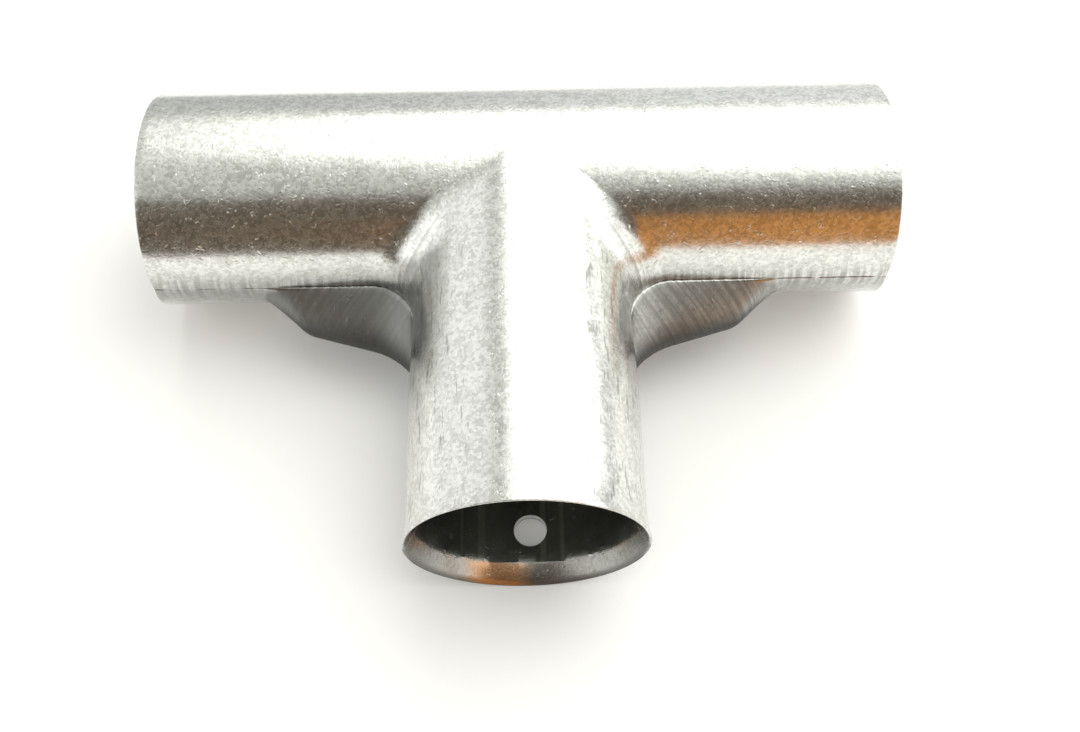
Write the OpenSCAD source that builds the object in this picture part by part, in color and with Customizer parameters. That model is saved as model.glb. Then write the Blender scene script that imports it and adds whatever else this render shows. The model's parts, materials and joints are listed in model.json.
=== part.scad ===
// Inspection tee for plain-ended conduit, pressed from galvanized sheet.
// Two half shells meet edge to edge along a seam in the plane of the axes.
// Frame: run along X, branch along -Y, front shell up (+Z), origin where the axes cross.

/* [Sheet] */
// Thickness of the pressed sheet
sheet_t = 1.0; // [0.7:0.1:1.3]
// Gap left along the seam between the two shells
seam_gap = 0.1; // [0.05:0.05:0.3]

/* [Run] */
// Bore of the straight run
run_bore_d = 20.4; // [19.8:0.2:23]
// Length of the straight run
run_len = 76.8; // [70:0.2:120]
// How far the run's ends stand back at the seam
end_back = 0.6; // [0:0.1:1.5]
// How far the run's ends stand out on the side of the branch
end_skew = 0.5; // [0:0.1:1]

/* [Branch] */
// Bore of the branch socket
branch_bore_d = 21; // [20.4:0.1:24]
// Distance from the run's axis to the branch mouth
branch_reach = 40.1; // [39:0.1:70]
// Straight length of the branch socket, from the taper to the flare
socket_len = 10; // [6:0.5:11]
// Length over which the mouth flares, short of the screw hole
flare_len = 3.6; // [2.4:0.2:3.6]
// How far the flare stands out from the socket wall
flare_out = 0.35; // [0.2:0.05:1.5]
// Length of the belled lead-in inside the mouth
lead_len = 2; // [1.5:0.5:4]
// Thickness of the sheet at the rim of the mouth
rim_t = 0.4; // [0.2:0.1:0.7]

/* [Crotch] */
// Outside fillet radius between run and branch at the seam
crotch_r = 4.5; // [3:0.5:5]

/* [Crotch webs] */
// Where a web leaves the run, measured from the branch wall
web_run = 16.4; // [15:0.2:18]
// Where a web meets the branch, measured from the run wall
web_branch = 8; // [7:0.2:9]
// Shoulder of a web, measured out along the run from the branch wall
web_shoulder_u = 12.6; // [11:0.2:13.4]
// Shoulder of a web, measured down the branch from the run wall
web_shoulder_v = 4.2; // [3.5:0.1:5]
// Depth behind the seam at which a web is widest
web_depth = 5; // [3.5:0.5:6]
// Depth behind the seam at which a web has died away
web_end = 9.8; // [8:0.2:10]

/* [Screw hole] */
// Diameter of the locking-screw hole in the back of the branch
hole_d = 3.4; // [2.5:0.1:3.8]
// Distance from the mouth to the middle of the hole
hole_from_mouth = 5.5; // [5.3:0.1:8]
// Offset of the hole to the right of the branch's axis
hole_side = 0.4; // [-2:0.1:2]

/* [Hidden] */
$fn = 96;

// Radii of the run and the branch, inside and outside
run_ri = run_bore_d / 2;
run_ro = run_ri + sheet_t;
socket_ri = branch_bore_d / 2;
socket_ro = socket_ri + sheet_t;
mouth_ro = socket_ro + flare_out;
mouth_ri = mouth_ro - rim_t;

// Stations along the branch, measured from the run's axis
neck_end = run_ro + crotch_r;
flare_start = branch_reach - flare_len;
socket_start = flare_start - socket_len;
lead_start = branch_reach - lead_len;

// Corner radii of a web's outline: at the run, at the shoulder, at the branch
web_r = [2, 2.8, 8];
// Length of straight wall that a web's outline keeps past its last corners
web_tail = 8;
// How a web slopes away behind the seam: 1 is a straight slope, 2 a round one
web_round = 1.25;
// Share of the tube's radius by which a web has died away at the latest
last_web = 0.96;
// Where the run's plain sockets begin, clear of the webs
web_clear = 1.5;
run_socket = run_ro + web_run + web_clear;

// The pressed junction laps into the sockets by lap_len, and lies lap inside their faces
lap = 0.02;
lap_len = 0.5;
over = 1;

// Steps along the curves
flare_steps = 6;
fillet_steps = 10;
arc_steps = 8;
wall_steps = 6;
front_rings = 20;
rear_rings = 24;

// Smooth step from 0 to 1
function ease(s) = s <= 0 ? 0 : s >= 1 ? 1 : s * s * (3 - 2 * s);

// Radius of the branch at a station, for the wall whose neck and socket radii are given
function branch_radius(d, neck_r, socket_r) =
    neck_r + (socket_r - neck_r) * ease((d - neck_end) / (socket_start - neck_end));

// Curve of a flare from a radius to another, as [radius, station]
function flare_curve(from_r, to_r, from_d) =
    [for (i = [0 : flare_steps])
        let (s = i / flare_steps)
        [from_r + (to_r - from_r) * s * s, from_d + (branch_reach - from_d) * s]];

// Arc of radius r that rounds the corner b between a and c
function corner_arc(a, b, c, r) =
    let (
        to_a = (a - b) / norm(a - b),
        to_c = (c - b) / norm(c - b),
        half = acos(to_a * to_c) / 2,
        centre = b + (to_a + to_c) / norm(to_a + to_c) * r / sin(half),
        p = b + to_a * r / tan(half) - centre,
        q = b + to_c * r / tan(half) - centre,
        start = atan2(p.y, p.x),
        turn = atan2(p.x * q.y - p.y * q.x, p * q)
    )
    [for (i = [0 : arc_steps])
        let (a = start + turn * i / arc_steps)
        centre + r * [cos(a), sin(a)]];

// Corner b of an outline whose sides move inwards by d
function moved_corner(a, b, c, d) =
    let (
        p = (b - a) / norm(b - a),
        q = (c - b) / norm(c - b),
        n = [-p.y, p.x],
        m = [-q.y, q.x]
    )
    b + (n + m) * d / (1 + n * m);

// Plain fillet between the walls u = 0 and v = 0, from the run to the branch
function fillet_curve(r, steps) =
    [for (i = [0 : steps])
        let (a = 270 - 90 * i / steps)
        [r + r * cos(a), r + r * sin(a)]];

// Corners of a web's outline, from along the run to along the branch
web_corners = [
    [web_run + web_tail, 0],
    [web_run, 0],
    [web_shoulder_u, web_shoulder_v],
    [0, web_branch],
    [0, web_branch + web_tail]
];

// Outline of a web moved inwards by d, measured from the walls moved inwards by d
function web_curve(d) =
    let (
        k = web_corners,
        w = [
            k[0] + [d, 0],
            moved_corner(k[0], k[1], k[2], d) + [d, d],
            moved_corner(k[1], k[2], k[3], d) + [d, d],
            moved_corner(k[2], k[3], k[4], d) + [d, d],
            k[4] + [0, d]
        ]
    )
    concat(
        corner_arc(w[0], w[1], w[2], web_r[0] + d),
        corner_arc(w[1], w[2], w[3], web_r[1] - d),
        corner_arc(w[2], w[3], w[4], web_r[2] + d)
    );

// How far a web has grown at a depth behind the seam, from 0 to 1
function web_growth(depth) =
    depth < web_depth ? 1 - pow(1 - depth / web_depth, web_round) :
    depth < web_end ? pow(cos(90 * (depth - web_depth) / (web_end - web_depth)), 2) : 0;

// Height of a plain fillet of radius r above the run wall, at a distance u out from the branch wall
function fillet_height(u, r) = u < r ? r - sqrt(pow(r, 2) - pow(r - u, 2)) : 0;

// How far the points of a web's outline stand apart at an angle, from 1 to 0 at the ridge
function web_spread(angle, neck_r) =
    let (stop = asin(min(web_end / neck_r, last_web)))
    angle <= stop ? 1 : cos(90 * (angle - stop) / (90 - stop));

// Curve of one crotch in the slice at an angle round the tubes, measured from the walls
function crotch_curve(angle, neck_r, seam_r, web) =
    let (
        r = seam_r * pow(cos(angle), 2),
        grown = web_growth(neck_r * sin(angle)),
        spread = web_spread(angle, neck_r)
    )
    len(web) == 0 ? fillet_curve(r, fillet_steps) :
    [for (p = web)
        let (
            u = max(p.x * spread, 0),
            plain = fillet_height(u, r)
        )
        [u, plain + (p.y - plain) * grown]];

// Wall point at a distance out from the branch wall (u) and a station along the branch (d)
function wall_point(u, d, angle, neck_r, socket_r) =
    let (r = branch_radius(d, neck_r, socket_r))
    [r * cos(angle) + u, -d, r * sin(angle)];

// Line of wall points in the slice at an angle: run, crotch, then along the branch
function wall_line(angle, neck_r, socket_r, seam_r, web) =
    let (
        curve = crotch_curve(angle, neck_r, seam_r, web),
        first = neck_r * cos(angle),
        from = first + curve[len(curve) - 1].y,
        to = socket_start + lap_len
    )
    concat(
        [[run_socket + lap_len, -first, neck_r * sin(angle)]],
        [for (p = curve) wall_point(p.x, first + p.y, angle, neck_r, socket_r)],
        [for (i = [1 : wall_steps])
            let (d = from + (to - from) * i / wall_steps)
            wall_point(0, d, angle, neck_r, socket_r)]
    );

function flipped_x(points) = [for (p = points) [-p.x, p.y, p.z]];

// Points of one face of the pressed junction: right side, left side, top of the run, then the ridge
function face_points(neck_r, socket_r, seam_r, web, angles) =
    let (
        lines = [for (a = angles) wall_line(a, neck_r, socket_r, seam_r, web)],
        ridge = wall_line(90, neck_r, socket_r, seam_r, web),
        end = run_socket + lap_len
    )
    concat(
        [for (line = lines) each line],
        [for (line = lines) each flipped_x(line)],
        [for (a = angles, x = [-end, 0, end]) [x, neck_r * cos(a), neck_r * sin(a)]],
        [[end, 0, neck_r], [0, 0, neck_r], [-end, 0, neck_r]],
        [for (i = [len(ridge) - wall_steps : len(ridge) - 1]) [0, ridge[i].y, ridge[i].z]]
    );

// Pressed junction of one shell, in front of the seam: run, crotches and neck of the branch
module junction(web, rings) {
    webbed = len(web) > 0;
    low = asin(seam_gap / 2 / run_ro);
    angles = [for (k = [0 : rings - 1]) low + (90 - low) * k / rings];
    outer = face_points(run_ro - lap, socket_ro - lap, crotch_r, webbed ? web[0] : [], angles);
    inner = face_points(run_ri + lap, socket_ri + lap, crotch_r + sheet_t, webbed ? web[1] : [],
        angles);

    // Places of the points in the lists: lines of the right and left sides, top of the run, ridge
    crotch_n = webbed ? len(web[0]) : fillet_steps + 1;
    line_n = 1 + crotch_n + wall_steps;
    left_at = rings * line_n;
    top_at = 2 * left_at;
    ridge_at = top_at + 3 * rings;
    ridge_of = function(i, end)
        i == 0 ? ridge_at + end :
        i <= crotch_n ? ridge_at + 1 :
        ridge_at + 2 + i - crotch_n;
    right = function(k, i) k < rings ? k * line_n + i : ridge_of(i, 0);
    left = function(k, i) k < rings ? left_at + k * line_n + i : ridge_of(i, 2);
    top = function(k, i) k < rings ? top_at + 3 * k + i : ridge_at + 2 - i;
    shift = len(outer);

    // Two triangles of a four-sided patch, without the ones that have shrunk to nothing
    quad = function(a, b, c, d) [for (t = [[a, b, c], [a, c, d]])
        if (t[0] != t[1] && t[1] != t[2] && t[2] != t[0]) t];
    patch = function(at, n, turn) [for (k = [0 : rings - 1], i = [0 : n - 2])
        each turn ? quad(at(k, i), at(k, i + 1), at(k + 1, i + 1), at(k + 1, i))
                  : quad(at(k, i), at(k + 1, i), at(k + 1, i + 1), at(k, i + 1))];
    outside = concat(patch(right, line_n, true), patch(left, line_n, false), patch(top, 3, true));
    inside = [for (t = outside) [t[2], t[1], t[0]] + [shift, shift, shift]];

    // Edges where the inside and outside faces are joined: seam, run ends and branch end
    edges = [
        [for (i = [0 : line_n - 1]) right(0, i)],
        [for (i = [line_n - 1 : -1 : 0]) left(0, i)],
        [for (i = [0 : 2]) top(0, i)],
        concat([for (k = [0 : rings]) top(k, 2)], [for (k = [rings - 1 : -1 : 0]) right(k, 0)]),
        concat([for (k = [0 : rings]) left(k, 0)], [for (k = [rings - 1 : -1 : 0]) top(k, 0)]),
        concat([for (k = [0 : rings]) right(k, line_n - 1)],
            [for (k = [rings - 1 : -1 : 0]) left(k, line_n - 1)])
    ];
    rims = [for (e = edges, i = [0 : len(e) - 2])
        each quad(e[i + 1], e[i], e[i] + shift, e[i + 1] + shift)];
    polyhedron(concat(outer, inner), concat(outside, inside, rims), convexity = 8);
}

// Plain socket at the right-hand end of the run, its end bowed by the pressing
module run_socket_tube() {
    difference() {
        translate([run_socket, 0, 0])
            rotate([0, 90, 0])
                difference() {
                    cylinder(r = run_ro, h = run_len / 2 - run_socket);
                    translate([0, 0, -over])
                        cylinder(r = run_ri, h = run_len);
                }
        translate([run_len / 2 - norm([end_back, end_skew]), 0, 0])
            rotate([0, atan(end_back / run_ro), atan(end_skew / run_ro)])
                translate([run_len / 2, 0, 0])
                    cube(run_len, center = true);
    }
}

// Locking-screw hole through one side of the branch socket
module screw_hole() {
    translate([hole_side, hole_from_mouth - branch_reach, 0])
        cylinder(d = hole_d, h = 2 * mouth_ro);
}

// Branch socket with its flared mouth and belled lead-in
module branch_socket_tube() {
    lead = flare_curve(socket_ri, mouth_ri, lead_start);
    wall = concat(
        [[socket_ri, socket_start], [socket_ro, socket_start]],
        flare_curve(socket_ro, mouth_ro, flare_start),
        [for (i = [flare_steps : -1 : 0]) lead[i]]
    );
    rotate([90, 0, 0])
        rotate_extrude()
            polygon(wall);
}

// Everything in front of the seam
module front_half() {
    size = 2 * (run_len + branch_reach);
    intersection() {
        children();
        translate([0, 0, (size + seam_gap) / 2])
            cube(size, center = true);
    }
}

// One pressed half of the tee, in front of the seam
module half_shell(web, rings, drilled) {
    junction(web, rings);
    front_half() {
        run_socket_tube();
    }
    front_half() {
        mirror([1, 0, 0])
            run_socket_tube();
    }
    front_half() {
        difference() {
            branch_socket_tube();
            if (drilled) screw_hole();
        }
    }
}

module front_shell() {
    color("silver")
        half_shell([], front_rings, false);
}

module rear_shell() {
    // Thickness of the wall in the plane where the web is widest
    wall = sqrt(pow(run_ro, 2) - pow(web_depth, 2)) - sqrt(pow(run_ri, 2) - pow(web_depth, 2));
    color("darkgray")
        mirror([0, 0, 1])
            half_shell([web_curve(0), web_curve(wall)], rear_rings, true);
}

front_shell();
rear_shell();
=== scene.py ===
"""Looks of a galvanized inspection tee: two pressed zinc shells that lie on a pale floor."""

import json
import logging
import math
from dataclasses import dataclass, field
from enum import Enum
from typing import Any, ClassVar, Sequence

import bpy
from mathutils import Matrix, Vector

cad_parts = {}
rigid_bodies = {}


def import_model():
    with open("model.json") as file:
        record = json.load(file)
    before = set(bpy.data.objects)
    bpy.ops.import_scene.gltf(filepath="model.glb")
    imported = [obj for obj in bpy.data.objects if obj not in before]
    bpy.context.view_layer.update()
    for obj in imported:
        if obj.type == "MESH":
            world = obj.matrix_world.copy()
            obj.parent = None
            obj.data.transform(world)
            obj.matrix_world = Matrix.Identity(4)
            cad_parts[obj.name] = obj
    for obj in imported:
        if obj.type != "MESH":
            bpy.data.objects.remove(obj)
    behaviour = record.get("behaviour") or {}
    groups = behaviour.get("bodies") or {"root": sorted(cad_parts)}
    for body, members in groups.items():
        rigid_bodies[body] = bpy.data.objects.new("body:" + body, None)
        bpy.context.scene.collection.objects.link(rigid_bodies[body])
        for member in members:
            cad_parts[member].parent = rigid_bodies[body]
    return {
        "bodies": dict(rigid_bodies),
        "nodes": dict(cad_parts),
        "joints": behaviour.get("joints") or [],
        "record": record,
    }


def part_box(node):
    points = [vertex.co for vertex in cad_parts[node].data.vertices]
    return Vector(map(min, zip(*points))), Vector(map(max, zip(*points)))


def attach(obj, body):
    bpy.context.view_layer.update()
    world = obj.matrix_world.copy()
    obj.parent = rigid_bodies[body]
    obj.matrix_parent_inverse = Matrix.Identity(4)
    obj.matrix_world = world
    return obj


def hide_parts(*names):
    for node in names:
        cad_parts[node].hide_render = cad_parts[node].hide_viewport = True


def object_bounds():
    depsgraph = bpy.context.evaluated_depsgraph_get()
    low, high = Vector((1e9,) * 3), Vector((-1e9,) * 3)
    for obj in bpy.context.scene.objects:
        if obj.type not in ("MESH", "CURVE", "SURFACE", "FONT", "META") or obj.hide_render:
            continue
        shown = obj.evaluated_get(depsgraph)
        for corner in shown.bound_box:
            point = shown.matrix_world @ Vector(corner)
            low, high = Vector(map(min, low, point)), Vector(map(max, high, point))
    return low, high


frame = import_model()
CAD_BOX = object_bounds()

LOG = logging.getLogger("tee")
MM = 0.001
ROOT_BODY = "root"
BORE_MARK = "bore"
BORE_FACING = 0.3

Colour = tuple[float, float, float]
Value = Any


class Side(Enum):
    """The two halves of the tee: node name, material slot of the record, name of the dressed piece."""

    FRONT = ("front_shell", "zinc_front", "front_half")
    REAR = ("rear_shell", "zinc_rear", "rear_half")

    @property
    def node(self) -> str:
        """Name of the solid that the half stands for."""
        return self.value[0]

    @property
    def slot(self) -> str:
        """Material slot of the record."""
        return self.value[1]

    @property
    def piece(self) -> str:
        """Name of the dressed piece."""
        return self.value[2]


class Wire:
    """A shader value that can be used in Python expressions."""

    def __init__(self, net: "ShaderNet", socket: bpy.types.NodeSocket) -> None:
        """Wraps an output socket of a node in net."""
        self.net = net
        self.socket = socket

    def _math(self, operation: str, *values: Value) -> "Wire":
        """Adds one Math node.

        Args:
            operation: Name of the Math node's operation.
            values: Its inputs in order, wires or numbers.

        Returns:
            The node's result.
        """
        sockets = dict(enumerate(values))
        return self.net.node("ShaderNodeMath", {"operation": operation}, sockets)

    def __add__(self, other: Value) -> "Wire":
        """Sum."""
        return self._math("ADD", self, other)

    def __radd__(self, other: Value) -> "Wire":
        """Sum with the number on the left."""
        return self._math("ADD", other, self)

    def __sub__(self, other: Value) -> "Wire":
        """Difference."""
        return self._math("SUBTRACT", self, other)

    def __rsub__(self, other: Value) -> "Wire":
        """Difference with the number on the left."""
        return self._math("SUBTRACT", other, self)

    def __mul__(self, other: Value) -> "Wire":
        """Product."""
        return self._math("MULTIPLY", self, other)

    def __rmul__(self, other: Value) -> "Wire":
        """Product with the number on the left."""
        return self._math("MULTIPLY", other, self)

    def __abs__(self) -> "Wire":
        """Size without the sign."""
        return self._math("ABSOLUTE", self)

    def least(self, other: Value) -> "Wire":
        """The smaller of the two values."""
        return self._math("MINIMUM", self, other)

    def most(self, other: Value) -> "Wire":
        """The larger of the two values."""
        return self._math("MAXIMUM", self, other)

    def root(self) -> "Wire":
        """Square root."""
        return self._math("SQRT", self)

    def lean(self, other: "Wire") -> "Wire":
        """Angle in radians whose tangent is self over other."""
        return self._math("ARCTAN2", self, other)

    def rise(self, low: float, high: float) -> "Wire":
        """Smooth step from 0 at low to 1 at high; low may be the larger of the two.

        Args:
            low: Value that gives 0.
            high: Value that gives 1.

        Returns:
            The stepped value.
        """
        ends = (0.0, 1.0) if low < high else (1.0, 0.0)
        sockets = {
            "Value": self,
            "From Min": min(low, high),
            "From Max": max(low, high),
            "To Min": ends[0],
            "To Max": ends[1],
        }
        return self.net.node("ShaderNodeMapRange", {"interpolation_type": "SMOOTHSTEP"}, sockets)


class ShaderNet:
    """Builds the node tree of a material or of the world."""

    def __init__(self, tree: bpy.types.NodeTree) -> None:
        """Starts with an empty tree."""
        self.tree = tree
        tree.nodes.clear()

    def node(
        self,
        kind: str,
        settings: dict[str, Any] | None = None,
        sockets: dict[str | int, Value] | None = None,
        out: str | int = 0,
    ) -> Wire:
        """Adds one node.

        Args:
            kind: Type of the node.
            settings: Properties of the node, set first.
            sockets: Inputs by name or number; each is a wire, a number or a tuple.
            out: Output to return, by name or number.

        Returns:
            The chosen output.
        """
        made = self.tree.nodes.new(kind)
        for name, value in (settings or {}).items():
            setattr(made, name, value)
        for name, value in (sockets or {}).items():
            if isinstance(value, Wire):
                self.tree.links.new(value.socket, made.inputs[name])
            else:
                made.inputs[name].default_value = value
        return Wire(self, made.outputs[out]) if len(made.outputs) else Wire(self, made.inputs[0])

    def split(self, vector: Wire) -> tuple[Wire, Wire, Wire]:
        """Parts of a vector.

        Args:
            vector: The vector to take apart.

        Returns:
            Its three parts.
        """
        first = self.node("ShaderNodeSeparateXYZ", sockets={0: vector})
        outputs = first.socket.node.outputs
        return tuple(Wire(self, outputs[i]) for i in range(3))

    def noise(self, at: Wire, scale: float, detail: float = 3.0, rough: float = 0.55) -> Wire:
        """Noise from 0 to 1.

        Args:
            at: Place in millimetres.
            scale: Waves per millimetre.
            detail: Octaves.
            rough: How much the finer octaves count.

        Returns:
            The noise value.
        """
        sockets = {"Vector": at, "Scale": scale, "Detail": detail, "Roughness": rough}
        return self.node("ShaderNodeTexNoise", sockets=sockets)

    def streaks(self, along: Wire, scale: float, detail: float = 3.0) -> Wire:
        """Noise that changes along one value only.

        Args:
            along: The value, in millimetres.
            scale: Waves per millimetre.
            detail: Octaves.

        Returns:
            The noise value.
        """
        sockets = {"W": along, "Scale": scale, "Detail": detail}
        return self.node("ShaderNodeTexNoise", {"noise_dimensions": "1D"}, sockets)

    def specks(self, at: Wire, scale: float, size: float, share: float) -> Wire:
        """Round specks in some of the cells of a random pattern.

        Args:
            at: Place in millimetres.
            scale: Cells per millimetre.
            size: Radius of a speck as a share of a cell.
            share: Share of the cells that hold a speck.

        Returns:
            1 in a speck and 0 elsewhere.
        """
        sockets = {"Vector": at, "Scale": scale}
        near = self.node("ShaderNodeTexVoronoi", sockets=sockets, out="Distance")
        cell = Wire(self, near.socket.node.outputs["Color"])
        pick = self.split(cell)[0]
        return near.rise(size, size * 0.4) * pick.rise(1 - share, 1 - share + 0.02)

    def mix(self, factor: Value, a: Value, b: Value) -> Wire:
        """Colour between a and b.

        Args:
            factor: 0 gives a, 1 gives b.
            a: Colour or wire.
            b: Colour or wire.

        Returns:
            The mixed colour.
        """
        settings = {"data_type": "RGBA"}
        sockets = {0: factor, 6: paint(a), 7: paint(b)}
        return self.node("ShaderNodeMix", settings, sockets, out=2)


def paint(colour: Value) -> Value:
    """A colour with full cover for a socket; wires pass through."""
    return colour if isinstance(colour, Wire) else (*colour, 1.0)


class Face(Enum):
    """The two faces of the sheet."""

    OUTSIDE = "outside"
    INSIDE = "inside"


class WebOutline:
    """Outline of a crotch web, measured out from the branch wall (x) and from the run wall (y)."""

    ARC_SHARE = 6 / 20
    LINE_SHARE = 1 / 20

    def __init__(self, corners: Sequence[Vector], radii: Sequence[float], inset: float) -> None:
        """Rounds the three inner corners of an outline that is moved inwards.

        Args:
            corners: The five corners, from along the run to along the branch.
            radii: Radii of the three inner corners.
            inset: How far the outline moves inwards.
        """
        moved = [corners[0] + Vector((inset, 0.0))]
        for a, b, c in zip(corners, corners[1:], corners[2:]):
            moved.append(self._moved(a, b, c, inset) + Vector((inset, inset)))
        moved.append(corners[-1] + Vector((0.0, inset)))
        signs = (1, -1, 1)
        rounds = [r + sign * inset for r, sign in zip(radii, signs)]
        triples = zip(moved, moved[1:], moved[2:])
        self.arcs = [self._arc(a, b, c, r) for (a, b, c), r in zip(triples, rounds)]

    @staticmethod
    def _moved(a: Vector, b: Vector, c: Vector, inset: float) -> Vector:
        """Corner b of an outline whose sides move inwards."""
        p, q = (b - a).normalized(), (c - b).normalized()
        n, m = Vector((-p.y, p.x)), Vector((-q.y, q.x))
        return b + (n + m) * inset / (1 + n.dot(m))

    @staticmethod
    def _arc(a: Vector, b: Vector, c: Vector, r: float) -> tuple[Vector, float, float, float]:
        """Centre, radius, start and turn of the arc that rounds corner b."""
        to_a, to_c = (a - b).normalized(), (c - b).normalized()
        half = math.acos(to_a.dot(to_c)) / 2
        centre = b + (to_a + to_c).normalized() * r / math.sin(half)
        p = b + to_a * r / math.tan(half) - centre
        q = b + to_c * r / math.tan(half) - centre
        turn = math.atan2(p.x * q.y - p.y * q.x, p.dot(q))
        return centre, r, math.atan2(p.y, p.x), turn

    def _on_arc(self, index: int, share: float) -> Vector:
        """Point at a share of the way along one arc."""
        centre, r, start, turn = self.arcs[index]
        angle = start + turn * share
        return centre + r * Vector((math.cos(angle), math.sin(angle)))

    def point(self, share: float) -> Vector:
        """Point at a share of the way from the run to the branch.

        Args:
            share: From 0 to 1; each arc takes six parts of twenty and each side between takes one.

        Returns:
            The point.
        """
        step = self.ARC_SHARE + self.LINE_SHARE
        index = min(int(share / step), len(self.arcs) - 1)
        rest = share - index * step
        if rest <= self.ARC_SHARE or index == len(self.arcs) - 1:
            return self._on_arc(index, min(rest / self.ARC_SHARE, 1.0))
        along = (rest - self.ARC_SHARE) / self.LINE_SHARE
        return self._on_arc(index, 1.0).lerp(self._on_arc(index + 1, 0.0), along)


@dataclass(frozen=True)
class TeeForm:
    """Form of the pressed tee in millimetres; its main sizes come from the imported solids."""

    run_ri: float
    socket_ri: float
    run_len: float
    reach: float
    mouth_ro: float
    sheet: float = 1.0
    seam_gap: float = 0.1
    end_back: float = 0.6
    end_skew: float = 0.5
    socket_len: float = 10.0
    flare_len: float = 3.6
    lead_len: float = 2.0
    lead_round: float = 1.1
    rim: float = 0.28
    crotch_r: float = 4.5
    front_fade: float = 1.0
    rear_fade: float = 2.0
    web_run: float = 16.4
    web_branch: float = 8.0
    web_shoulder: tuple[float, float] = (12.6, 4.2)
    web_tail: float = 8.0
    web_radii: tuple[float, float, float] = (2.0, 2.8, 8.0)
    web_depth: float = 5.0
    web_end: float = 9.8
    web_round: float = 1.25
    hole_r: float = 1.7
    hole_from_mouth: float = 5.5
    hole_side: float = 0.4
    LAST_WEB: ClassVar[float] = 0.96

    @classmethod
    def from_frame(cls, packed: dict[str, Any]) -> "TeeForm":
        """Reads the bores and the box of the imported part.


        Returns:
            The form.
        """
        bores = {m["name"]: m["dims"]["r_mm"] for m in packed["record"]["mounts"]}
        low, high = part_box(Side.REAR.node)
        return cls(
            run_ri=bores["run_bore"],
            socket_ri=bores["branch_bore"],
            run_len=2 * high.x / MM,
            reach=-low.y / MM,
            mouth_ro=-low.z / MM,
            hole_r=bores["screw_hole"],
        )

    @property
    def run_ro(self) -> float:
        """Outside radius of the run."""
        return self.run_ri + self.sheet

    @property
    def neck_end(self) -> float:
        """Station along the branch at which its neck begins to widen."""
        return self.run_ro + self.crotch_r

    def run_r(self, face: Face) -> float:
        """Radius of the run at a face of the sheet."""
        return self.run_ro if face is Face.OUTSIDE else self.run_ri

    def branch_r(self, face: Face, station: float) -> float:
        """Radius of the branch.

        Args:
            face: Face of the sheet.
            station: Distance from the run's axis.

        Returns:
            The radius there, with the neck, the socket and the flare or lead-in.
        """
        outside = face is Face.OUTSIDE
        socket = self.socket_ri + (self.sheet if outside else 0.0)
        flare = self.flare_len if outside else self.lead_len
        rim = self.mouth_ro - (0.0 if outside else self.rim)
        socket_start = self.reach - self.flare_len - self.socket_len
        widened = ease((station - self.neck_end) / (socket_start - self.neck_end))
        flared = max(0.0, 1 - (self.reach - station) / flare) ** (2.0 if outside else self.lead_round)
        neck = self.run_r(face)
        return neck + (socket - neck) * widened + (rim - socket) * flared

    def run_end(self, y: float, depth: float) -> float:
        """Where the run ends at a place round it; depth is measured from the seam."""
        bow = math.hypot(self.end_back, self.end_skew)
        skew, back = self.end_skew / self.run_ro, self.end_back / self.run_ro
        return self.run_len / 2 - bow - y * skew + depth * back * math.hypot(1.0, skew)

    def web(self, face: Face) -> WebOutline:
        """Outline of a web at a face of the sheet, where the web is widest."""
        walls = [math.sqrt(r * r - self.web_depth**2) for r in (self.run_ro, self.run_ri)]
        inset = 0.0 if face is Face.OUTSIDE else walls[0] - walls[1]
        corners = (
            (self.web_run + self.web_tail, 0.0),
            (self.web_run, 0.0),
            self.web_shoulder,
            (0.0, self.web_branch),
            (0.0, self.web_branch + self.web_tail),
        )
        return WebOutline([Vector(c) for c in corners], self.web_radii, inset)

    def web_growth(self, depth: float) -> float:
        """How far a web has grown at a depth behind the seam, from 0 to 1."""
        if depth < self.web_depth:
            return 1 - (1 - depth / self.web_depth) ** self.web_round
        if depth < self.web_end:
            past = (depth - self.web_depth) / (self.web_end - self.web_depth)
            return math.cos(math.pi / 2 * past) ** 2
        return 0.0

    def crotch(self, face: Face, angle: float, share: float, web: WebOutline | None) -> Vector:
        """Point of a crotch curve in the slice at an angle round the tubes.

        Args:
            face: Face of the sheet.
            angle: Angle from the seam, in radians.
            share: From 0 at the run to 1 at the branch.
            web: Outline of the web, or None for a plain fillet.

        Returns:
            Distances out from the branch wall and from the run wall.
        """
        whole = self.crotch_r + (0.0 if face is Face.OUTSIDE else self.sheet)
        r = whole * math.cos(angle) ** (self.front_fade if web is None else self.rear_fade)
        if web is None:
            sweep = math.pi * (1.5 - 0.5 * share)
            return r * Vector((1 + math.cos(sweep), 1 + math.sin(sweep)))
        tube = self.run_r(face)
        stop = math.asin(min(self.web_end / tube, self.LAST_WEB))
        past = max(0.0, angle - stop) / (math.pi / 2 - stop)
        widest = web.point(share)
        out = max(widest.x * math.cos(math.pi / 2 * past), 0.0)
        plain = r - math.sqrt(r * r - (r - out) ** 2) if out < r else 0.0
        grown = self.web_growth(tube * math.sin(angle))
        return Vector((out, plain + (widest.y - plain) * grown))


def ease(share: float) -> float:
    """Smooth step from 0 to 1."""
    held = min(max(share, 0.0), 1.0)
    return held * held * (3 - 2 * held)


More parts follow.
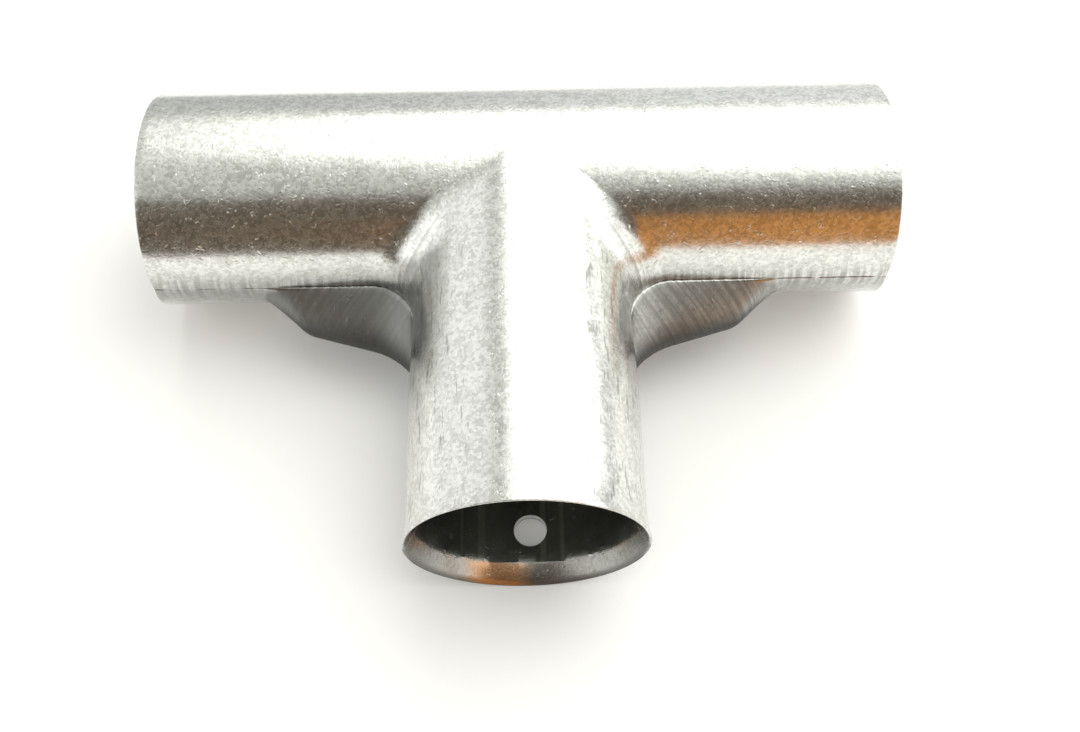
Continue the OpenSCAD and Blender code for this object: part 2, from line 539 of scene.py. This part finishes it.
@dataclass(frozen=True)
class ZincFinish:
    """Satin zinc on pressed sheet: mottled, sparkling, with draw marks along the seam.

    Painted shade partly darkens the webs, lip, bores, the strip under the seam and one flank; the lip
    holds a painted reflection.
    """

    name: str
    light: Colour
    dull: Colour
    web_shade: float
    # Strength of the painted reflection on the lip.
    lip_reflection: float
    roughness: float = 0.2
    # Painted shade inside the bores, with lighter lines along the branch.
    bore_shade_tone: Colour = (0.34, 0.35, 0.32)
    streak_tone: Colour = (0.30, 0.30, 0.28)
    line_tone: Colour = (0.55, 0.55, 0.52)
    # Painted shade and dark reflection on the left flank of the branch.
    flank_shade_tone: Colour = (0.20, 0.20, 0.195)
    # Painted shade and reflection on the rear webs and on the strip under the seam.
    web_shade_tone: Colour = (0.19, 0.195, 0.19)
    # Painted shadow that deepens towards the webs' outlines.
    outline_shade_tone: Colour = (0.05, 0.05, 0.05)
    # Painted shade on the mouth's lip, and a painted reflection on it: an orange patch within a wider
    # dark brown area.
    lip_shade_tone: Colour = (0.29, 0.29, 0.275)
    lip_reflection_tone: Colour = (0.72, 0.30, 0.05)
    lip_dark_reflection_tone: Colour = (0.09, 0.065, 0.045)
    pit_tone: Colour = (0.16, 0.14, 0.12)
    scuff_grain: tuple[float, float, float] = (2.2, 0.35, 2.2)
    # How much less painted web shade the right web gets.
    right_web_ease: float = 0.3
    relief: float = 0.05 * MM
    bump_strength: float = 0.6

    def material(self, form: TeeForm) -> bpy.types.Material:
        """Makes the material.

        Args:
            form: Form that the marks follow.

        Returns:
            The finished material.
        """
        made = bpy.data.materials.new(self.name)
        made.use_nodes = True
        net = ShaderNet(made.node_tree)
        spot = net.node("ShaderNodeTexCoord", out="Object")
        at = net.node("ShaderNodeVectorMath", {"operation": "SCALE"}, {0: spot, "Scale": 1 / MM})
        x, y, z = net.split(at)
        cloud = net.noise(at, 0.3, 2.0, 0.5)
        mottle = net.noise(at, 0.8, 5.0, 0.66)
        grain = net.noise(at, 4.2, 3.0, 0.65)
        crystals = net.node("ShaderNodeTexVoronoi", sockets={"Vector": at, "Scale": 3.4}, out="Color")
        crystal = net.split(crystals)[0]

        run_r = (y * y + z * z).root()
        branch_r = (x * x + z * z).root()
        behind = y.rise(0.0, 2.0)
        off_walls = run_r.least(branch_r + behind * form.run_ro) - form.run_ro
        crotch = off_walls.rise(0.15, 1.2)
        web = off_walls.rise(0.03, 0.35) * z.rise(0.2, -0.4)
        # Painted shadow: the webs grow darker with depth behind the seam, towards their outlines.
        outline_shade = web * z.rise(-1.8, -4.2)
        edge = abs(z).rise(3.0, 0.3) * y.rise(-4.0, -8.0)
        along = abs(x) + y
        drawn = net.streaks(along, 1.5, 4.0).rise(0.36, 0.64)
        drawn_at = edge.most(crotch)
        # Painted shade and dark reflection on the left flank of the branch near the crotch, in streaks
        # along the branch.
        flank = abs(x + 0.4).rise(5.8, 8.6) * y.rise(-32.0, -15.0) * y.rise(-10.5, -12.0)
        flank_shade = flank * x.rise(9.0, -9.0) * (0.4 + 0.6 * net.streaks(x, 1.5, 3.0))

        stretch = {0: at, 1: self.scuff_grain}
        drawn_out = net.node("ShaderNodeVectorMath", {"operation": "MULTIPLY"}, stretch)
        scuffed_at = abs(x + 1.0).rise(2.5, 6.0) * y.rise(-10.0, -14.0)
        scuffs = net.noise(drawn_out, 1.0).rise(0.58, 0.68) * scuffed_at

        # Painted shade: faces that look at an axis are painted darker, except in the mouth's bell.
        bore = net.node("ShaderNodeAttribute", {"attribute_name": BORE_MARK}, out="Fac")
        bell = y.rise(form.lead_len + 0.3 - form.reach, form.lead_len - 0.2 - form.reach)
        dark = bore * (1 - bell)
        lines = net.streaks(x + 0.12 * z, 0.62, 2.0).rise(0.57, 0.64) * y.rise(-10.0, -16.0)

        pits = net.specks(at, 0.24, 0.05, 0.25)
        jags = {"Vector": at, "Scale": 2.6, "Detail": 0.0}
        ragged = net.node("ShaderNodeTexNoise", sockets=jags, out="Color")
        bent = net.node("ShaderNodeVectorMath", {"operation": "ADD"}, {0: at, 1: ragged})
        glints = net.specks(bent, 1.2, 0.3, 0.3)
        tone = (0.55 * mottle + 0.2 * grain + 0.25 * crystal).rise(0.33, 0.64)
        zinc = net.mix(tone, self.dull, self.light)
        streaky = net.mix((1 - drawn) * drawn_at * 0.65, zinc, self.streak_tone)
        scuffed = net.mix(scuffs * 0.75, streaky, self.streak_tone)
        flank_shaded = net.mix(flank_shade, scuffed, self.flank_shade_tone)
        # Painted shade and reflection: the rear webs and the strip under the seam are painted darker,
        # streaked with draw marks, less on the right web.
        web_shade_colour = net.mix((0.3 * drawn + 0.7 * mottle) * 0.5, self.web_shade_tone, self.streak_tone)
        under_seam_shade = z.rise(0.1, -0.4) * abs(z).rise(5.0, 2.0) * y.rise(-7.0, -9.0) * y.rise(-13.0, -11.8)
        shade = web.most(0.45 * under_seam_shade) * self.web_shade * (1 - self.right_web_ease * x.rise(4.0, 12.0))
        web_shaded = net.mix(shade, flank_shaded, web_shade_colour)
        outline_shaded = net.mix(outline_shade * self.web_shade, web_shaded, self.outline_shade_tone)
        pitted = net.mix(pits, outline_shaded, self.pit_tone)
        shaded_bore = net.mix(lines * 0.8, self.bore_shade_tone, self.line_tone)
        # Painted shade and painted reflection on the lip of the mouth: darker zinc with an orange patch
        # in a wider dark brown area.
        lip = bore * bell
        lip_dark_reflection = abs(x - 0.5).rise(8.5, 4.0) * (0.4 + 0.6 * mottle)
        lip_reflection_patch = abs(x + 3.0).rise(4.2, 1.2) * (0.45 + 0.7 * grain)
        lip_shaded = net.mix(lip_dark_reflection * self.lip_reflection, self.lip_shade_tone, self.lip_dark_reflection_tone)
        lip_reflected = net.mix(lip_reflection_patch * self.lip_reflection, lip_shaded, self.lip_reflection_tone)
        lipped = net.mix(lip * (0.6 + 0.4 * grain), pitted, lip_reflected)
        colour = net.mix(dark, lipped, shaded_bore)

        uneven = 0.14 * (mottle - 0.5) + 0.1 * (grain - 0.5)
        rough = self.roughness + uneven + 0.12 * dark + 0.3 * web + 0.06 * lip
        marks = 0.35 * drawn * drawn_at * (1 - 0.7 * web) - 0.8 * pits + 0.6 * glints
        height = 0.3 * grain + 0.35 * mottle + 0.15 * crystal + 0.6 * cloud + marks
        bump = net.node(
            "ShaderNodeBump",
            sockets={"Strength": self.bump_strength, "Distance": self.relief, "Height": height},
        )
        shader = net.node(
            "ShaderNodeBsdfPrincipled",
            sockets={"Base Color": colour, "Metallic": 1.0, "Roughness": rough, "Normal": bump},
        )
        net.node("ShaderNodeOutputMaterial", sockets={"Surface": shader})
        return made


@dataclass
class HalfShell:
    """One pressed half of the tee, modelled again as an even skin of four-sided faces."""

    side: Side
    finish: ZincFinish
    form: TeeForm
    rings: int = 48
    run_steps: int = 44
    crotch_steps: int = 40
    branch_steps: int = 56
    edge_r: float = 0.12 * MM
    edge_steps: int = 3
    weld: float = 0.001 * MM
    crease: float = math.radians(22)
    hole_sides: int = 96
    piece: bpy.types.Object | None = field(default=None, init=False)

    @property
    def facing(self) -> float:
        """Side of the seam on which the half lies."""
        return 1.0 if self.side is Side.FRONT else -1.0

    def build(self) -> bpy.types.Object:
        """Models the half.

        Returns:
            The new piece.
        """
        patches = [patch for face in Face for patch in self._skin(face)]
        self.piece = self._joined(patches)
        self._close_rims()
        if self.side is Side.REAR:
            self._drill()
        self._round_edges()
        mark_bore(self.piece.data)
        return self.piece

    def _line(self, face: Face, angle: float, web: WebOutline | None) -> list[Vector]:
        """Points in the slice at an angle: along the run, round the crotch, along the branch."""
        form = self.form
        r = form.run_r(face)
        first, depth = r * math.cos(angle), r * math.sin(angle)
        shares = [i / self.crotch_steps for i in range(self.crotch_steps + 1)]
        turns = [form.crotch(face, angle, share, web) for share in shares]
        end, start = form.run_end(-first, depth), first + turns[0].x
        points = []
        for i in range(self.run_steps):
            points.append(Vector((end + (start - end) * i / self.run_steps, -first, depth)))
        stations = [(turn.x, first + turn.y) for turn in turns]
        from_d = stations[-1][1]
        for i in range(1, self.branch_steps + 1):
            stations.append((0.0, from_d + (form.reach - from_d) * i / self.branch_steps))
        for out, station in stations:
            wide = form.branch_r(face, station)
            points.append(Vector((wide * math.cos(angle) + out, -station, wide * math.sin(angle))))
        return points

    def _top_line(self, face: Face, angle: float) -> list[Vector]:
        """Points along the run on the far side from the branch, from right to left."""
        r = self.form.run_r(face)
        y, depth = r * math.cos(angle), r * math.sin(angle)
        end = self.form.run_end(y, depth)
        steps = range(-self.run_steps, self.run_steps + 1)
        return [Vector((-end * i / self.run_steps, y, depth)) for i in steps]

    def _skin(self, face: Face) -> list[bpy.types.Object]:
        """Patches of one face of the sheet: right side, left side, far side of the run."""
        form = self.form
        web = form.web(face) if self.side is Side.REAR else None
        low = math.asin(form.seam_gap / 2 / form.run_ro)
        angles = [low + (math.pi / 2 - low) * k / self.rings for k in range(self.rings + 1)]
        right = [self._line(face, angle, web) for angle in angles]
        left = [[Vector((-p.x, p.y, p.z)) for p in line] for line in right]
        top = [self._top_line(face, angle) for angle in angles]
        return [self._patch(rows) for rows in (right, left, top)]

    def _patch(self, rows: list[list[Vector]]) -> bpy.types.Object:
        """Lays a grid over rows of points."""
        bpy.ops.object.select_all(action="DESELECT")
        bpy.ops.mesh.primitive_grid_add(x_subdivisions=len(rows[0]) - 1, y_subdivisions=len(rows) - 1)
        patch = bpy.context.object
        points = [self._set_down(p) for row in rows for p in row]
        for vertex, point in zip(patch.data.vertices, points, strict=True):
            vertex.co = point
        return patch

    def _set_down(self, point: Vector) -> Vector:
        """Place of a point of the drawn form in the scene, on the half's own side of the seam."""
        return Vector((point.x, point.y, point.z * self.facing)) * MM

    def _joined(self, patches: list[bpy.types.Object]) -> bpy.types.Object:
        """Joins the patches into one piece and welds their edges."""
        select_only(patches[0])
        for patch in patches:
            patch.select_set(True)
        bpy.ops.object.join()
        piece = bpy.context.object
        piece.name = self.side.piece
        piece.data.name = self.side.piece
        bpy.ops.object.mode_set(mode="EDIT")
        bpy.ops.mesh.select_all(action="SELECT")
        bpy.ops.mesh.remove_doubles(threshold=self.weld)
        bpy.ops.object.mode_set(mode="OBJECT")
        return piece

    def _close_rims(self) -> None:
        """Bridges the edges of the two faces of the sheet and turns all faces outwards."""
        select_only(self.piece)
        bpy.ops.object.mode_set(mode="EDIT")
        bpy.ops.mesh.select_mode(type="EDGE")
        bpy.ops.mesh.select_all(action="DESELECT")
        bpy.ops.mesh.select_non_manifold(
            extend=False, use_wire=False, use_multi_face=False, use_non_contiguous=False, use_verts=False
        )
        bpy.ops.mesh.mark_sharp()
        bpy.ops.mesh.bridge_edge_loops()
        bpy.ops.mesh.select_all(action="SELECT")
        bpy.ops.mesh.normals_make_consistent(inside=False)
        bpy.ops.object.mode_set(mode="OBJECT")

    def _drill(self) -> None:
        """Cuts the screw hole through the branch wall."""
        form = self.form
        middle = Vector((form.hole_side, form.hole_from_mouth - form.reach, -form.mouth_ro)) * MM
        bpy.ops.object.select_all(action="DESELECT")
        bpy.ops.mesh.primitive_cylinder_add(
            vertices=self.hole_sides, radius=form.hole_r * MM, depth=form.mouth_ro * MM, location=middle
        )
        drill = bpy.context.object
        select_only(self.piece)
        cut = self.piece.modifiers.new("hole", "BOOLEAN")
        cut.operation = "DIFFERENCE"
        cut.object = drill
        bpy.ops.object.modifier_apply(modifier=cut.name)
        bpy.data.objects.remove(drill)

    def _round_edges(self) -> None:
        """Rounds the cut edges of the sheet and shades the rest smooth."""
        select_only(self.piece)
        mesh = self.piece.data
        weights = mesh.attributes.new("bevel_weight_edge", "FLOAT", "EDGE")
        for edge in mesh.edges:
            weights.data[edge.index].value = float(edge.use_edge_sharp)
        rounding = self.piece.modifiers.new("edges", "BEVEL")
        rounding.limit_method = "WEIGHT"
        rounding.width = self.edge_r
        rounding.segments = self.edge_steps
        bpy.ops.object.modifier_apply(modifier=rounding.name)
        bpy.ops.object.shade_smooth_by_angle(angle=self.crease, keep_sharp_edges=False)

    def dress(self) -> None:
        """Gives the piece its finish and sets it in the place of its solid."""
        self.piece.data.materials.clear()
        self.piece.data.materials.append(self.finish.material(self.form))
        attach(self.piece, ROOT_BODY)
        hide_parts(self.side.node)


@dataclass
class SeamZinc:
    """Zinc that has run into the seam and bridges it in places; stretches of the run, in millimetres."""

    form: TeeForm
    finish: ZincFinish
    thick: float = 0.14
    spread: float = 0.27
    sunk: float = 0.15
    mouth_from: float = 26.0
    mouth_spread: float = 0.2
    squareness: float = 0.3
    bluntness: float = 6.0
    shy: float = 0.01
    near_side: tuple[tuple[float, float], ...] = (
        (-38.2, -31.6), (-33.4, -27.2), (-28.6, -24.5), (25.6, 27.4), (30.2, 31.3), (36.6, 38.2),
    )
    far_side: tuple[tuple[float, float], ...] = (
        (-36.5, -32.0), (-21.0, -13.5), (-4.0, -2.2), (6.0, 12.5), (19.0, 20.4), (29.5, 35.0),
    )
    piece: bpy.types.Object | None = field(default=None, init=False)

    def build(self) -> bpy.types.Object:
        """Models the runs of zinc as one piece.

        Returns:
            The new piece.
        """
        depth = self.form.run_ro - self.sunk
        runs = [self._run(span, -depth) for span in self.near_side]
        runs += [self._run(span, depth) for span in self.far_side]
        runs += [self._mouth_run(side) for side in (-1.0, 1.0)]
        select_only(runs[0])
        for run in runs:
            run.select_set(True)
        bpy.ops.object.join()
        bpy.ops.object.mode_set(mode="EDIT")
        bpy.ops.mesh.select_all(action="SELECT")
        bpy.ops.mesh.normals_make_consistent(inside=False)
        bpy.ops.object.mode_set(mode="OBJECT")
        bpy.ops.object.shade_smooth()
        self.piece = bpy.context.object
        self.piece.name = "seam_zinc"
        self.piece.data.name = "seam_zinc"
        mark_bore(self.piece.data)
        return self.piece

    @staticmethod
    def _ball() -> bpy.types.Object:
        """A ball from which one run of zinc is drawn."""
        bpy.ops.object.select_all(action="DESELECT")
        bpy.ops.mesh.primitive_uv_sphere_add(segments=16, ring_count=28, radius=1.0)
        return bpy.context.object

    def _run(self, span: tuple[float, float], y: float) -> bpy.types.Object:
        """Draws a ball out along the run's seam, tapered at its ends."""
        run = self._ball()
        middle, half = (span[0] + span[1]) / 2, (span[1] - span[0]) / 2
        for vertex in run.data.vertices:
            p = vertex.co.copy()
            vertex.co = Vector((middle + half * p.z, y + self.thick * p.y, self.spread * p.x)) * MM
        return run

    def _mouth_run(self, side: float) -> bpy.types.Object:
        """Draws a ball out along the branch's seam up to the mouth, as thick as the sheet."""
        form, run = self.form, self._ball()
        last = form.reach - self.shy
        middle, half = (last + self.mouth_from) / 2, (last - self.mouth_from) / 2
        for vertex in run.data.vertices:
            p = vertex.co.copy()
            station = middle + half * p.z
            outside, inside = (form.branch_r(face, station) for face in Face)
            half_wall = (outside - inside) / 2 - self.shy
            out = (outside + inside) / 2 + half_wall * self._squared(p.x, p)
            vertex.co = Vector((side * out, -station, self.mouth_spread * self._squared(p.y, p))) * MM
        return run

    def _squared(self, part: float, on_ball: Vector) -> float:
        """Part of a point on the ball, moved out towards a square section with blunt ends."""
        around = math.hypot(on_ball.x, on_ball.y)
        if around == 0.0:
            return 0.0
        blunt = min(1.0, self.bluntness * around)
        return math.copysign(abs(part / around) ** self.squareness * blunt, part)

    def dress(self) -> None:
        """Gives the zinc its finish and lets it ride with the shells."""
        self.piece.data.materials.clear()
        self.piece.data.materials.append(self.finish.material(self.form))
        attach(self.piece, ROOT_BODY)


def mark_bore(mesh: bpy.types.Mesh) -> None:
    """Marks each face that looks at the axis of the run or of the branch."""
    mark = mesh.attributes.new(BORE_MARK, "FLOAT", "FACE")
    for face in mesh.polygons:
        at = face.center
        on_run = Vector((at.x, 0.0, 0.0))
        on_branch = Vector((0.0, min(at.y, 0.0), 0.0))
        axis = min((on_run, on_branch), key=lambda point: (point - at).length)
        inwards = (axis - at).normalized().dot(face.normal)
        mark.data[face.index].value = 1.0 if inwards > BORE_FACING else 0.0


def select_only(thing: bpy.types.Object) -> None:
    """Selects one object and makes it active."""
    bpy.ops.object.select_all(action="DESELECT")
    thing.select_set(True)
    bpy.context.view_layer.objects.active = thing


@dataclass(frozen=True)
class RoomLight:
    """Soft light of the room, seen by the metal: a window behind, a dim side in front."""

    window: Colour = (2.6, 2.6, 2.5)
    ceiling: Colour = (0.62, 0.63, 0.58)
    far_wall: Colour = (0.60, 0.61, 0.60)
    far_light: Colour = (0.92, 0.93, 0.92)
    side_glow: Colour = (1.5, 1.5, 1.45)
    left_wall: Colour = (1.1, 1.11, 1.08)
    dim: Colour = (0.15, 0.12, 0.09)
    warm: Colour = (0.64, 0.28, 0.075)
    backdrop: Colour = (1.0, 1.0, 1.0)

    def hang(self) -> None:
        """Writes the light into the world."""
        world = bpy.data.worlds.new("room_light")
        bpy.context.scene.world = world
        world.use_nodes = True
        net = ShaderNet(world.node_tree)
        looks = net.node("ShaderNodeTexCoord", out="Generated")
        x, y, z = net.split(looks)
        lean = (-1.0 * y).lean(z) * (180 / math.pi)
        right = x.rise(-0.2, 0.2)
        window_end = lean - 26.0 * right
        window = lean.rise(-76, -48) * window_end.rise(4, -28) * x.rise(-0.36, 0.0)
        front = lean.rise(26, 40) * lean.rise(150, 120)
        warm = lean.rise(58, 63) * x.rise(-0.1, 0.15)
        glow = abs(x).rise(0.58, 0.72) * y.rise(0.15, -0.05) * z.rise(0.0, 0.2)
        behind = lean.rise(-60, -80)
        left = x.rise(-0.34, -0.6) * y.rise(-0.74, -0.5)
        far = net.mix(right, self.far_wall, self.far_light)
        sky = net.mix(left, net.mix(behind, self.ceiling, far), self.left_wall)
        lit = net.mix(window, sky, self.window)
        near = net.mix(warm, self.dim, self.warm)
        room = net.mix(glow, net.mix(front * (1 - left), lit, near), self.side_glow)
        seen = net.node("ShaderNodeLightPath", out="Is Camera Ray")
        colour = net.mix(seen, room, self.backdrop)
        shine = net.node("ShaderNodeBackground", sockets={"Color": colour, "Strength": 1.0})
        net.node("ShaderNodeOutputWorld", sockets={"Surface": shine})


@dataclass
class PaleFloor:
    """Plain pale floor under the tee, a wide sheet that glows a little; sizes in metres."""

    height: float
    width: float = 3.0
    front: float = 0.13
    back: float = 0.05
    tone: Colour = (0.86, 0.86, 0.85)
    glow: float = 0.16

    def lay(self) -> bpy.types.Object:
        """Makes the floor.

        Returns:
            The floor.
        """
        bpy.ops.object.select_all(action="DESELECT")
        middle = (0.0, (self.back - self.front) / 2, self.height)
        bpy.ops.mesh.primitive_plane_add(size=1.0, location=middle)
        floor = bpy.context.object
        floor.scale = (self.width, self.back + self.front, 1.0)
        bpy.ops.object.transform_apply()
        floor.name = "pale_floor"
        made = bpy.data.materials.new("pale_floor")
        made.use_nodes = True
        net = ShaderNet(made.node_tree)
        shader = net.node(
            "ShaderNodeBsdfPrincipled",
            sockets={
                "Base Color": paint(self.tone),
                "Roughness": 0.9,
                "Emission Color": paint(self.tone),
                "Emission Strength": self.glow,
            },
        )
        net.node("ShaderNodeOutputMaterial", sockets={"Surface": shader})
        floor.data.materials.append(made)
        return floor


@dataclass(frozen=True)
class HandCamera:
    """Camera held close above the front of the tee; place in millimetres, turns in degrees."""

    place: tuple[float, float, float] = (-0.09, -84.14, 122.48)
    turn: float = -0.834
    tilt: float = -27.29
    roll: float = -1.506
    focal_px: float = 1366.0
    frame_px: float = 1080.0
    sensor: float = 36.0

    def aim(self) -> bpy.types.Object:
        """Makes the scene's camera.

        Returns:
            The camera.
        """
        turn, tilt, roll = (math.radians(a) for a in (self.turn, self.tilt, self.roll))
        back = Vector((math.sin(turn) * math.cos(tilt), math.sin(tilt), math.cos(turn) * math.cos(tilt)))
        right = Vector((0.0, 1.0, 0.0)).cross(back).normalized()
        up = back.cross(right)
        across = math.cos(roll) * right + math.sin(roll) * up
        upright = math.cos(roll) * up - math.sin(roll) * right
        lens = bpy.data.cameras.new("hand_camera")
        lens.sensor_width = self.sensor
        lens.lens = self.focal_px / self.frame_px * self.sensor
        lens.clip_start = 0.01
        lens.clip_end = 10.0
        camera = bpy.data.objects.new("hand_camera", lens)
        bpy.context.scene.collection.objects.link(camera)
        pose = Matrix((across, upright, back)).transposed().to_4x4()
        pose.translation = Vector(self.place) * MM
        camera.matrix_world = pose
        bpy.context.scene.camera = camera
        return camera


def main() -> None:
    """Builds the camera, the light, the floor, the two dressed halves and the zinc in their seam."""
    logging.basicConfig(level=logging.INFO, format="%(message)s")
    bpy.context.scene.view_settings.view_transform = "Standard"
    HandCamera().aim()
    RoomLight().hang()
    PaleFloor(height=CAD_BOX[0].z).lay()
    form = TeeForm.from_frame(frame)
    finishes = {
        Side.FRONT: ZincFinish("zinc_front", (0.815, 0.82, 0.795), (0.59, 0.595, 0.565), 0.0, 0.0),
        # The rear finish carries the painted web shade and the painted reflection on the lip.
        Side.REAR: ZincFinish("zinc_rear", (0.795, 0.80, 0.785), (0.57, 0.575, 0.55), 0.85, 0.9),
    }
    parts = [HalfShell(side, finish, form) for side, finish in finishes.items()]
    parts.append(SeamZinc(form, finishes[Side.FRONT]))
    for part in parts:
        piece = part.build()
        part.dress()
        LOG.info("%s: %d faces", piece.name, len(piece.data.polygons))


if __name__ == "__main__":
    main()
